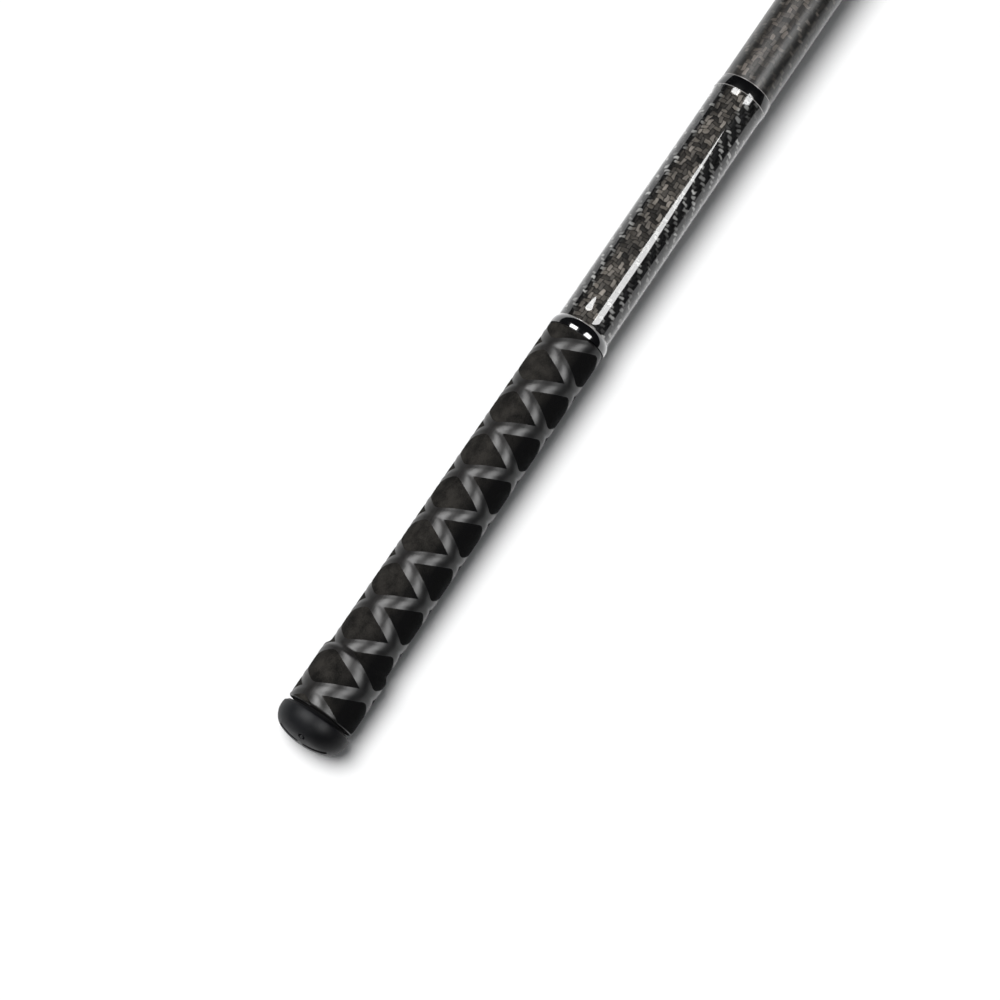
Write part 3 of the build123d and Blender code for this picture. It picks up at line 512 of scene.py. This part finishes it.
def lattice_distance(station, angle):
    """Distance to the nearest pad's outline, over the whole grip."""
    nearest = np.full(np.broadcast(station, angle).shape, 1.0)
    for index, column in enumerate(PAD_COLUMNS):
        first = PAD_FIRST + (index % 2) * PAD_PITCH / 2
        turn = (angle - column + pi) % (2 * pi) - pi
        step = (station - first + PAD_PITCH / 2) % PAD_PITCH - PAD_PITCH / 2
        nearest = np.minimum(nearest, pad_distance(turn * DEVELOPED_RADIUS, step))
    return nearest


LATTICE_GRID = (336, 216)  # stations and angles
BAND_CROWN = 0.00024  # how far the middle of a band stands over the grip's radius
BAND_SHOULDER = 0.0022
PAD_BED = 0.0003  # how far the lattice lies under it below a pad
BED_SHOULDER = 0.0012
END_ROUND = 0.0005


def build_lattice():
    stations = np.linspace(GRIP_START, GRIP_FINISH, LATTICE_GRID[0])[:, None]
    angles = np.linspace(0, 2 * pi, LATTICE_GRID[1], endpoint=False)[None, :]
    d = lattice_distance(stations, angles)
    proud = BAND_CROWN * smooth_step(d / BAND_SHOULDER) - PAD_BED * smooth_step(-d / BED_SHOULDER)
    to_end = np.minimum(stations - GRIP_START, GRIP_FINISH - stations)
    rounding = END_ROUND * (1 - np.sqrt(1 - (1 - np.clip(to_end / END_ROUND, 0, 1)) ** 2))
    outer = handle_points(stations, grip_radius(stations) + proud - rounding, angles)
    back = np.array([GRIP_FINISH, GRIP_STEP, GRIP_END_WRAP, GRIP_START])[:, None]
    inner = handle_points(back, grip_radius(back) - GRIP_SKIN, angles)
    rings = np.concatenate([outer, inner])
    piece = make_piece("grip_lattice", rings.reshape(-1, 3), wrapped_faces(*rings.shape[:2]), "handle",
                       "grip_lattice", sharp=radians(50))
    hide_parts("grip_sleeve")


FLANK_POINTS = 22
CORNER_POINTS = 6


def pad_outline():
    """Closed outline of a pad on its developed axes: straight flanks between sharp tips and round corners."""
    quarter = []
    tangent = (PAD_ROUND * sin(FLANK_TILT), ROUND_CENTRE + PAD_ROUND * cos(FLANK_TILT))
    for t in np.linspace(0, 1, FLANK_POINTS, endpoint=False):
        quarter.append((PAD_HALF_LENGTH * (1 - t) + tangent[0] * t, tangent[1] * t))
    for t in np.linspace(FLANK_TILT, 0, CORNER_POINTS):
        quarter.append((PAD_ROUND * sin(t), ROUND_CENTRE + PAD_ROUND * cos(t)))
    right = quarter[:-1]
    top = [(-x, y) for x, y in reversed(quarter)]
    upper = right + top[:-1]
    return np.array(upper + [(-x, -y) for x, y in upper])


def clip(outline, low, high):
    """The part of a convex outline whose second coordinate is between low and high."""
    for limit, sign in ((low, 1), (high, -1)):
        kept = []
        for a, b in zip(outline, np.roll(outline, -1, axis=0)):
            inside_a, inside_b = sign * (a[1] - limit) >= 0, sign * (b[1] - limit) >= 0
            if inside_a:
                kept.append(a)
            if inside_a != inside_b:
                kept.append(a + (b - a) * (limit - a[1]) / (b[1] - a[1]))
        outline = np.array(kept).reshape(-1, 2)
        if len(outline) < 3:
            return None
    return outline


def densify(outline, spacing):
    """The same closed outline with no edge longer than the spacing."""
    points = []
    for a, b in zip(outline, np.roll(outline, -1, axis=0)):
        steps = max(1, ceil(hypot(*(b - a)) / spacing))
        points.extend(a + (b - a) * i / steps for i in range(steps))
    return np.array(points)


# Share of the outline and height over the grip of each ring of points, from a pad's edge to its middle.
PAD_RINGS = [(1.0, -0.00035), (1.0, -0.00006), (0.988, 0.00002), (0.965, 0.00007), (0.9, 0.00011),
             (0.78, 0.00014), (0.62, 0.00016), (0.46, 0.00018), (0.3, 0.00019), (0.15, 0.0002)]
PAD_END_GAP = 0.0004
PAD_EDGE = 0.0012
PAD_SLIVER = 0.001  # a cut pad shorter than this is left out


def on_grip(column, centre, flat, proud):
    """Points over the grip, from a pad's developed axes at its column's angle and its centre's station."""
    station = flat[..., 1] + centre
    return handle_points(station, grip_radius(station) + proud, column + flat[..., 0] / DEVELOPED_RADIUS)


def build_pads():
    low, high = GRIP_START + PAD_END_GAP, GRIP_FINISH - PAD_END_GAP
    points, faces = [], []
    for index, column in enumerate(PAD_COLUMNS):
        first = PAD_FIRST + (index % 2) * PAD_PITCH / 2
        for row in range(PAD_ROWS):
            centre = first + row * PAD_PITCH
            outline = clip(pad_outline(), low - centre, high - centre)
            if outline is None or np.ptp(outline[:, 1]) < PAD_SLIVER:
                continue
            outline = densify(outline, PAD_EDGE)
            middle = (outline.min(axis=0) + outline.max(axis=0)) / 2
            start, count = len(points), len(outline)
            for share, proud in PAD_RINGS:
                points.extend(on_grip(column, centre, middle + (outline - middle) * share, proud))
            points.append(on_grip(column, centre, middle, PAD_RINGS[-1][1]))
            for ring in range(len(PAD_RINGS) - 1):
                for c in range(count):
                    a, b = start + ring * count + c, start + ring * count + (c + 1) % count
                    faces.append((a, b, b + count, a + count))
            last = start + (len(PAD_RINGS) - 1) * count
            faces.extend((last + c, last + (c + 1) % count, last + count) for c in range(count))
            faces.append(tuple(reversed(range(start, start + count))))
    piece = make_piece("grip_foam_pads", points, faces, "handle", "grip_pad", sharp=radians(60))
    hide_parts("grip_pads")


EDGE_RADIUS = 0.00016
EDGE_GRID = (10, 144)  # points round the lip's section, and round the handle


def build_film_edges():
    """Thin lips where the clear film is cut round the handle. Their pale colour is partly a painted highlight
    line; the coat's reflections on them are real.
    """
    for name, (station, radius) in RIM_STATIONS.items():
        turn = np.linspace(0, 2 * pi, EDGE_GRID[0], endpoint=False)[:, None]
        around = np.linspace(0, 2 * pi, EDGE_GRID[1], endpoint=False)[None, :]
        lip = handle_points(station + EDGE_RADIUS * np.cos(turn), radius + EDGE_RADIUS * np.sin(turn), around)
        piece = make_piece(name, lip.reshape(-1, 3), wrapped_faces(*EDGE_GRID), "handle", "film_edge")


# --- Head: cloth-covered pad ---------------------------------------------------------------------
def rounded_rectangle(length, width, corner, per_corner=8):
    """Outline of a rounded rectangle, length along Y, anticlockwise."""
    corners = []
    for cx, cy, start in ((1, 1, 0), (-1, 1, 90), (-1, -1, 180), (1, -1, 270)):
        for step in range(per_corner + 1):
            a = radians(start + 90 * step / per_corner)
            corners.append((cx * (width / 2 - corner) + corner * cos(a),
                            cy * (length / 2 - corner) + corner * sin(a)))
    return np.array(corners)


COVER_SWELL = 0.0006  # room left for the cover to swell into
SOLE_EDGE = 0.0045  # radius of the sole's edge
EDGE_ANGLES = (0, 22, 45, 68, 90)
COVER_TOP = PLATE_TOP - 0.0002


def cover_block():
    """Closed block a little smaller than the pad, with a rounded bottom edge."""
    levels = [(COVER_SWELL + SOLE_EDGE * (1 - sin(radians(a))), SOLE_EDGE * (1 - cos(radians(a))))
              for a in EDGE_ANGLES]
    levels.append((COVER_SWELL, COVER_TOP))
    points, faces = [], []
    for inset, height in levels:
        outline = rounded_rectangle(PAD_LENGTH - 2 * inset, PAD_WIDTH - 2 * inset, PAD_CORNER - inset)
        points.extend((x, y, height) for x, y in outline)
    count = len(points) // len(levels)
    for level in range(len(levels) - 1):
        for c in range(count):
            a, b = level * count + c, level * count + (c + 1) % count
            faces.append((a, b, b + count, a + count))
    faces.append(tuple(reversed(range(count))))
    faces.append(tuple(range((len(levels) - 1) * count, len(levels) * count)))
    return points, faces


def apply_modifier(piece, modifier):
    with bpy.context.temp_override(object=piece, active_object=piece, selected_objects=[piece]):
        bpy.ops.object.modifier_apply(modifier=modifier.name)


def vertex_array(mesh):
    values = np.zeros(len(mesh.vertices) * 3)
    mesh.vertices.foreach_get("co", values)
    return values.reshape(-1, 3)


VOXEL = 0.0032
FINER = 2  # subdivision levels
HELD_DEPTH = 0.0022  # how far below the plate's top the cloth is held
PRESSURE = 4.0
SWELL_FRAMES = 20
SWELL_CAP = 0.0016


def swell(piece):
    """Blows the pad up a little as cloth, with its top held by the shell, and caps how far it moves."""
    rest = vertex_array(piece.data)
    held = piece.vertex_groups.new(name="held")
    held.add(np.nonzero(rest[:, 2] > PLATE_TOP - HELD_DEPTH)[0].tolist(), 1.0, "REPLACE")
    cloth = piece.modifiers.new("Cloth", "CLOTH")
    cloth.settings.use_pressure = True
    cloth.settings.uniform_pressure_force = PRESSURE
    cloth.settings.effector_weights.gravity = 0.0
    cloth.settings.vertex_group_mass = "held"
    cloth.point_cache.frame_start = 1
    cloth.point_cache.frame_end = SWELL_FRAMES
    for step in range(1, SWELL_FRAMES + 1):
        bpy.context.scene.frame_set(step)
    apply_modifier(piece, cloth)
    bpy.context.scene.frame_set(1)
    moved = vertex_array(piece.data) - rest
    length = np.linalg.norm(moved, axis=1, keepdims=True)
    capped = rest + moved * np.minimum(1, SWELL_CAP / np.maximum(length, 1e-9))
    piece.data.vertices.foreach_set("co", capped.ravel())


WALL_INSET = 0.0003  # from the pad's outline
WALL_DEPTH = 0.0025  # cloth further in than this is no wall
WALL_HEIGHTS = (0.0085, 0.0134)


def clear_plate(co):
    """Moves the cover's wall out, where it doesn't yet clear the plate inside it."""
    half = np.array([PAD_WIDTH, PAD_LENGTH]) / 2 - PAD_CORNER
    beyond = np.maximum(np.abs(co[:, :2]) - half, 0)
    reach = np.linalg.norm(beyond, axis=1)
    short = PAD_CORNER - WALL_INSET - reach
    low, high = WALL_HEIGHTS
    wall = (short > 0) & (short < WALL_DEPTH) & (co[:, 2] > low) & (co[:, 2] < high)
    co[wall, :2] += (np.sign(co[:, :2]) * beyond * (short / np.maximum(reach, 1e-9))[:, None])[wall]


SEAM_HEIGHT = 0.0118
SEAM_DEPTH = 0.0004
SEAM_WIDTH = 0.0006
PULL_DEPTH = 0.00022
PULLS_ROUND = 46
PULL_DRIFT = (1.7, 9)  # how far the pulls stray, and how often round the pad
PULLS_FROM = (0.003, 0.004)  # height where the pulls start, and over which they grow
PULLS_TO = (0.0136, 0.003)


def ripple_cover(piece):
    """Faint pulls in the cloth down the sides, none on the sole, which stays flat on the ice."""
    co = vertex_array(piece.data)
    clear_plate(co)
    around = np.arctan2(co[:, 1] / PAD_LENGTH, co[:, 0] / PAD_WIDTH)
    side = (smooth_step((co[:, 2] - PULLS_FROM[0]) / PULLS_FROM[1])
            * smooth_step((PULLS_TO[0] - co[:, 2]) / PULLS_TO[1]))
    stray = PULL_DRIFT[0] * np.sin(around * PULL_DRIFT[1])
    pulls = PULL_DEPTH * np.sin(around * PULLS_ROUND + stray) * side
    outward = np.stack([co[:, 0] / PAD_WIDTH, co[:, 1] / PAD_LENGTH, 0 * co[:, 0]], axis=1)
    outward /= np.maximum(np.linalg.norm(outward, axis=1, keepdims=True), 1e-9)
    seam = SEAM_DEPTH * np.exp(-(((co[:, 2] - SEAM_HEIGHT) / SEAM_WIDTH) ** 2))
    co += outward * (pulls - seam)[:, None]
    co[:, 2] = np.clip(co[:, 2], 0.0, COVER_TOP)
    piece.data.vertices.foreach_set("co", co.ravel())


def build_cover():
    points, faces = cover_block()
    piece = make_piece("pad_cover_cloth", points, faces, "head", "cover")
    remesh = piece.modifiers.new("Remesh", "REMESH")
    remesh.mode = "VOXEL"
    remesh.voxel_size = VOXEL
    apply_modifier(piece, remesh)
    swell(piece)
    finer = piece.modifiers.new("Subdivision", "SUBSURF")
    finer.levels = finer.render_levels = FINER
    apply_modifier(piece, finer)
    ripple_cover(piece)
    piece.data.shade_smooth()
    dress(piece, "cover")
    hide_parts("pad_cover", "pad_foam")
    return piece


STITCHES = 108
STITCH_HEIGHT = 0.0104
STITCH_SHARE = (0.12, 0.78)  # where in its pitch a stitch starts and ends
STITCH_GIRTH = 0.00032
STITCH_THIN = 0.45  # girth at the ends, as a share
STITCH_RISE = 0.0003
STITCH_SUNK = 0.0002
STITCH_GRID = (5, 6)  # rings along a stitch, and points to a ring


def build_stitches(cover):
    """A row of lockstitches that lies on the cover along its seam."""
    mesh = cover.data
    cloth = BVHTree.FromPolygons([v.co for v in mesh.vertices], [p.vertices for p in mesh.polygons])
    outline = rounded_rectangle(PAD_LENGTH, PAD_WIDTH, PAD_CORNER, per_corner=16)
    closed = np.concatenate([outline, outline[:1]])
    lengths = np.concatenate([[0], np.cumsum(np.linalg.norm(np.diff(closed, axis=0), axis=1))])
    pitch = lengths[-1] / STITCHES
    points, faces = [], []
    spans, sides = STITCH_GRID
    for index in range(STITCHES):
        along = (index + np.linspace(*STITCH_SHARE, spans)) * pitch
        start = len(points)
        for span in range(spans):
            above = Vector([np.interp(along[span], lengths, closed[:, k]) for k in (0, 1)] + [STITCH_HEIGHT])
            place, outward = cloth.find_nearest(above)[:2]
            arch = sin(pi * span / (spans - 1))
            girth = STITCH_GIRTH * (STITCH_THIN + (1 - STITCH_THIN) * arch)
            rise = STITCH_RISE * arch - STITCH_SUNK
            for side in range(sides):
                a = 2 * pi * side / sides
                points.append(place + outward * (rise + girth * cos(a)) + Vector((0, 0, girth * sin(a))))
        for span in range(spans - 1):
            for side in range(sides):
                a = start + span * sides + side
                b = start + span * sides + (side + 1) % sides
                faces.append((a, b, b + sides, a + sides))
        faces.append(tuple(reversed(range(start, start + sides))))
        faces.append(tuple(range(start + (spans - 1) * sides, start + spans * sides)))
    piece = make_piece("pad_stitches", points, faces, "head", "stitch")


# --- CAD nodes that stay ---------------------------------------------------------------------------
def dress_cad_nodes():
    """Every CAD node that shows takes the material of its slot in the record."""
    slots = {s["node"]: s["material_slot"] for s in frame["record"]["subparts"]}
    for name, piece in frame["nodes"].items():
        if slots[name] in MATERIALS:
            dress(piece, "collar" if name == "upper_ring" else slots[name])


# --- Camera, floor and lights -----------------------------------------------------------------------
CAMERA_PLACE = (1.27934, 0.11136, 1.07312)
CAMERA_TURN = (14.061, -2.973, 123.348)
CAMERA_LENS = 90.0
SENSOR_WIDTH = 36.0
NEAREST = 0.01


def build_camera():
    camera = bpy.data.objects.new("camera", bpy.data.cameras.new("camera"))
    bpy.context.scene.collection.objects.link(camera)
    camera.location = CAMERA_PLACE
    camera.rotation_euler = [radians(a) for a in CAMERA_TURN]
    camera.data.lens = CAMERA_LENS
    camera.data.sensor_width = SENSOR_WIDTH
    camera.data.clip_start = NEAREST
    bpy.context.scene.camera = camera


FLOOR_REACH = 20.0
FLOOR_DROP = 0.0002
PAPER_TONE = 0.9
PAPER_IN_GLOSS = 1.35  # how much brighter the overexposed paper is in reflections


def build_floor():
    mesh = bpy.data.meshes.new("floor")
    corners = [(-FLOOR_REACH, -FLOOR_REACH), (FLOOR_REACH, -FLOOR_REACH),
               (FLOOR_REACH, FLOOR_REACH), (-FLOOR_REACH, FLOOR_REACH)]
    mesh.from_pydata([(x, y, -FLOOR_DROP) for x, y in corners], [], [(0, 1, 2, 3)])
    floor = bpy.data.objects.new("floor", mesh)
    bpy.context.scene.collection.objects.link(floor)
    paper = bpy.data.materials.new("white_paper")
    paper.use_nodes = True
    nodes, links = paper.node_tree.nodes, paper.node_tree.links
    diffuse = nodes.new("ShaderNodeBsdfDiffuse")
    tone = nodes.new("ShaderNodeMapRange")
    tone.inputs["To Min"].default_value = PAPER_TONE
    tone.inputs["To Max"].default_value = PAPER_TONE * PAPER_IN_GLOSS
    links.new(nodes.new("ShaderNodeLightPath").outputs["Is Glossy Ray"], tone.inputs["Value"])
    links.new(tone.outputs["Result"], diffuse.inputs["Color"])
    links.new(diffuse.outputs[0], nodes["Material Output"].inputs["Surface"])
    mesh.materials.append(paper)


def light_direction(lateral):
    """Direction towards a light, which is square to the handle: degrees from straight up towards +Y."""
    side = radians(lateral)
    return LIFT * cos(side) + ACROSS * sin(side)


KEY_LATERAL = -14.0
KEY_WIDTH = 30.0
KEY_STRENGTH = 3.3
# Softboxes that only show as reflections: degrees round the handle, station each stands over, distance,
# half width, half length, roll and radiance.
SOFTBOXES = {"card_light": (-28.0, 0.223, 4.0, 1.05, 1.205, 0.6, 19.0),
             "strip_light": (30.0, 0.300, 4.0, 0.90, 1.49, -9.5, 16.5)}
SUN_PLACE = (0, 0, 3)  # a sun shines the same from anywhere
AMBIENT = 0.16
AMBIENT_IN_GLOSS = 0.03  # the same room in reflections
ROOM_TINT = (0.95, 0.97, 1.0, 1)
BACKDROP = 1.2  # brightness of what the camera sees past the floor


def add_light(name, kind, towards, place=None, roll=0.0):
    light = bpy.data.objects.new(name, bpy.data.lights.new(name, kind))
    bpy.context.scene.collection.objects.link(light)
    y_axis = (TO_HEAD - towards * TO_HEAD.dot(towards)).normalized()
    y_axis = Matrix.Rotation(radians(roll), 3, towards) @ y_axis
    x_axis = y_axis.cross(towards)
    turn = Matrix((x_axis, y_axis, towards)).transposed()
    light.matrix_world = Matrix.Translation(place or SUN_PLACE) @ turn.to_4x4()
    light.visible_camera = False
    return light


def build_lights():
    key = add_light("key_light", "SUN", light_direction(KEY_LATERAL))
    key.data.energy = KEY_STRENGTH
    key.data.angle = radians(KEY_WIDTH)
    key.visible_glossy = False
    for name, (lateral, station, distance, half_width, half_length, roll, radiance) in SOFTBOXES.items():
        towards = light_direction(lateral)
        place = GRIP_BUTT + TO_HEAD * station + towards * distance
        softbox = add_light(name, "AREA", towards, place, roll)
        softbox.data.shape = "RECTANGLE"
        softbox.data.size = 2 * half_width
        softbox.data.size_y = 2 * half_length
        softbox.data.energy = radiance * pi * softbox.data.size * softbox.data.size_y
        softbox.visible_diffuse = False


def build_world():
    """Dim room for light and reflections, seen as white paper behind the floor."""
    world = bpy.data.worlds.new("room")
    bpy.context.scene.world = world
    world.use_nodes = True
    nodes, links = world.node_tree.nodes, world.node_tree.links
    seen = nodes.new("ShaderNodeBackground")
    seen.inputs["Color"].default_value = (1, 1, 1, 1)
    seen.inputs["Strength"].default_value = BACKDROP
    dim = nodes["Background"]
    dim.inputs["Color"].default_value = ROOM_TINT
    path = nodes.new("ShaderNodeLightPath")
    strength = nodes.new("ShaderNodeMapRange")
    strength.inputs["To Min"].default_value = AMBIENT
    strength.inputs["To Max"].default_value = AMBIENT_IN_GLOSS
    links.new(path.outputs["Is Glossy Ray"], strength.inputs["Value"])
    links.new(strength.outputs["Result"], dim.inputs["Strength"])
    mix = nodes.new("ShaderNodeMixShader")
    links.new(path.outputs["Is Camera Ray"], mix.inputs["Fac"])
    links.new(dim.outputs[0], mix.inputs[1])
    links.new(seen.outputs[0], mix.inputs[2])
    links.new(mix.outputs[0], nodes["World Output"].inputs["Surface"])
    bpy.context.scene.view_settings.view_transform = "Standard"


build_camera()
build_floor()
build_lights()
build_world()
dress_cad_nodes()
build_lattice()
build_pads()
build_film_edges()
build_stitches(build_cover())
